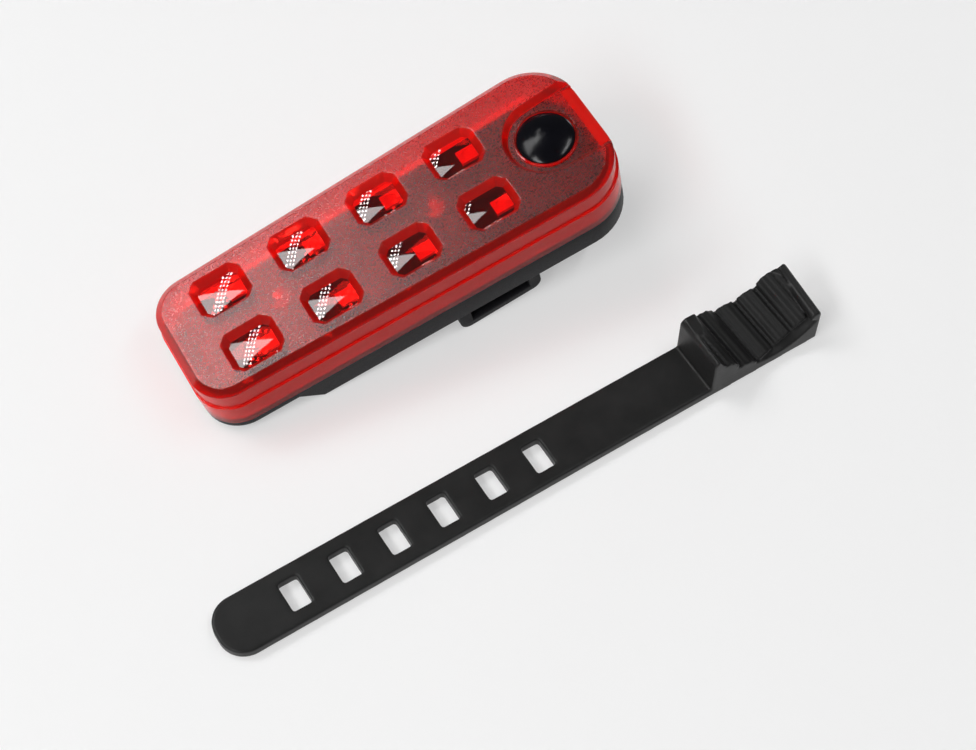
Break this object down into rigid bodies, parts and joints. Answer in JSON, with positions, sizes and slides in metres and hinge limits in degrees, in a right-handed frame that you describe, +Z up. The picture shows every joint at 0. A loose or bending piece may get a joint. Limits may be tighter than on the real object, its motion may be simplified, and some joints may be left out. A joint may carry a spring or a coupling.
{
  "type": "bicycle rear light",
  "caption": "Strap-on bicycle rear light: tapered red lens with recessed windows, domed push button, black back with a strap loop, and a loose rubber strap with a ribbed saddle.",
  "frame": {"origin": "middle of the strap seat on the back of the light", "axes": "+X along the light from its narrow end to its button end, seen from above, +Z up from the table that the light and strap lie on"},
  "size_m": [0.1236, 0.0692, 0.0278],
  "materials": {
    "black_abs": "fine matte",
    "seal_rubber": "matte",
    "cell_wrap": "printed wrap without print, satin",
    "spring_steel": "bright wire",
    "nickel_plate": "bright",
    "gold_plate": "bright",
    "green_board": "satin solder mask",
    "lamp_body": "satin",
    "switch_can": "satin",
    "switch_plastic": "satin",
    "chip_resin": "matte",
    "screw_steel": "satin",
    "red_lens": "translucent, frosted face with clear windows",
    "button_gloss": "gloss",
    "strap_silicone": "matte"
  },
  "bodies": {
    "back": {"back_shell": "black_abs", "strap_loop": "black_abs", "strap_hook": "black_abs", "strap_guides": "black_abs", "seal_ring": "seal_rubber", "battery_1": "cell_wrap", "battery_2": "cell_wrap", "battery_spring_1": "spring_steel", "battery_spring_2": "spring_steel", "bridge_contact": "nickel_plate", "terminal_plus": "nickel_plate", "terminal_minus": "nickel_plate"},
    "front": {"lens_cover": "red_lens", "circuit_board": "green_board", "contact_pads": "gold_plate", "switch_body": "switch_can", "control_chip": "chip_resin", "resistors": "chip_resin", "board_screws": "screw_steel", "led_1": "lamp_body", "led_2": "lamp_body", "led_3": "lamp_body", "led_4": "lamp_body", "led_5": "lamp_body", "led_6": "lamp_body", "led_7": "lamp_body", "led_8": "lamp_body"},
    "button": {"button": "button_gloss"},
    "stem": {"switch_stem": "switch_plastic"},
    "strap": {"strap_band": "strap_silicone", "strap_saddle": "strap_silicone"}
  },
  "joints": [
    {"name": "front_lift", "type": "slide", "parent": "back", "child": "front", "axis": [-0.1695, 0, 0.9855], "range_m": [0, 0.025]},
    {"name": "button_press", "type": "slide", "parent": "front", "child": "button", "axis": [0.1695, 0, -0.9855], "range_m": [0, 0.0005], "stiffness_N_per_m": 2400},
    {"name": "stem_press", "type": "slide", "parent": "front", "child": "stem", "axis": [0.1695, 0, -0.9855], "range_m": [0, 0.0005]},
    {"name": "strap_lift", "type": "slide", "parent": "back", "child": "strap", "axis": [0, 0, 1], "range_m": [0, 0.04]}
  ],
  "couplings": [
    {"joint": "stem_press", "follows": "button_press", "ratio": 1}
  ]
}
